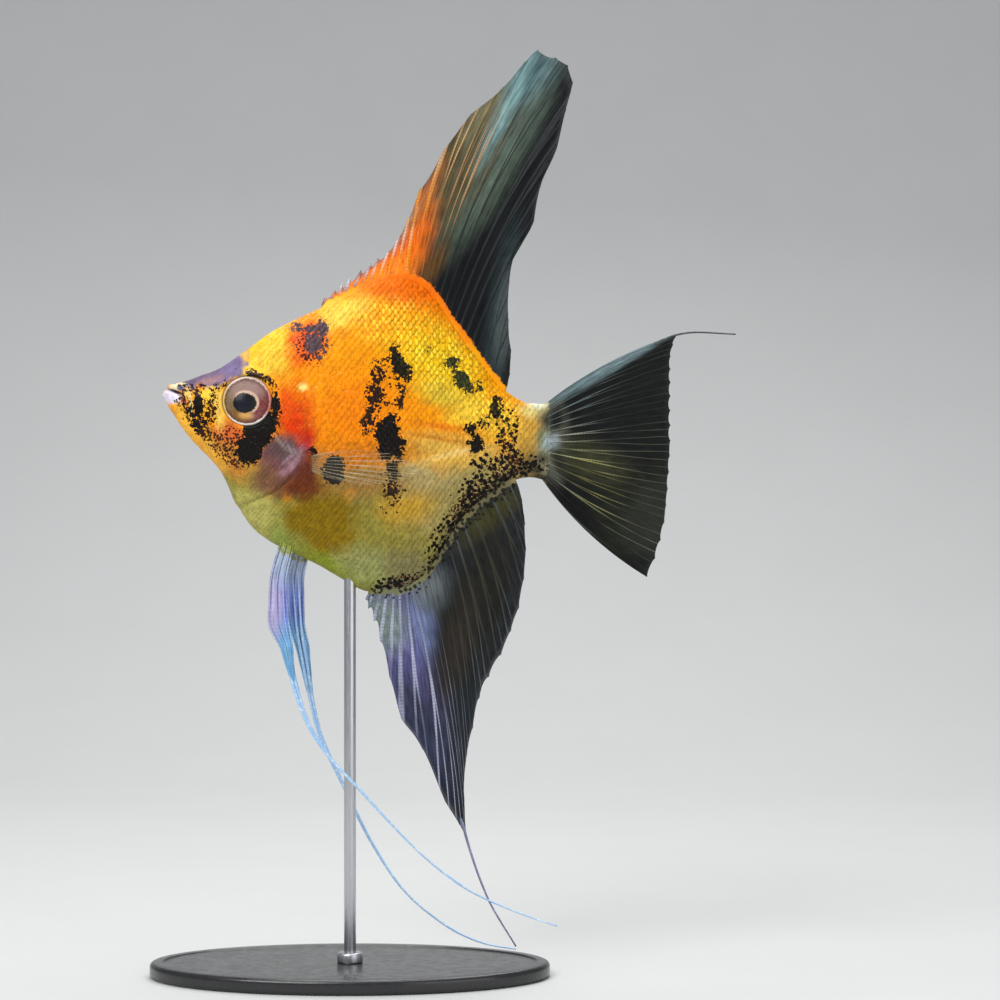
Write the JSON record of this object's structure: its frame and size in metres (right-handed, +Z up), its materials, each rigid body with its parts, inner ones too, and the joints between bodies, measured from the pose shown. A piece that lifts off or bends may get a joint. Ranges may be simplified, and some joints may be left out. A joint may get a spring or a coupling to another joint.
{
  "type": "freshwater angelfish model on a stand",
  "caption": "Life-size still model of a koi freshwater angelfish with long trailing fins, held level by one thin rod on an oval display foot.",
  "frame": {"origin": "centre of the underside of the display stand's foot, straight below the rod", "axes": "+Z up along the rod, -X the way the fish faces, +Y across the fish towards its right side"},
  "size_m": [0.1172, 0.046, 0.1854],
  "materials": {
    "head_skin": "wet satin",
    "body_skin": "wet satin",
    "eye": "gloss",
    "dark_fin": "satin",
    "blue_fin": "satin",
    "clear_fin": "satin",
    "stand_black": "satin",
    "stand_steel": "brushed"
  },
  "bodies": {
    "root": {"head": "head_skin", "lower_jaw": "head_skin", "gill_cover_left": "head_skin", "gill_cover_right": "head_skin", "trunk_front": "body_skin", "trunk_rear": "body_skin", "tail_stock": "body_skin", "eye_left": "eye", "eye_right": "eye", "dorsal_fin": "dark_fin", "anal_fin": "dark_fin", "tail_fin": "dark_fin", "anal_streamer": "dark_fin", "tail_streamer": "dark_fin", "pelvic_fin_left": "blue_fin", "pelvic_fin_right": "blue_fin", "pelvic_streamer_left_upper": "blue_fin", "pelvic_streamer_left_lower": "blue_fin", "pelvic_streamer_right_upper": "blue_fin", "pelvic_streamer_right_lower": "blue_fin", "pectoral_fin_left": "clear_fin", "pectoral_fin_right": "clear_fin", "stand_base": "stand_black", "stand_rod": "stand_steel"}
  },
  "joints": []
}
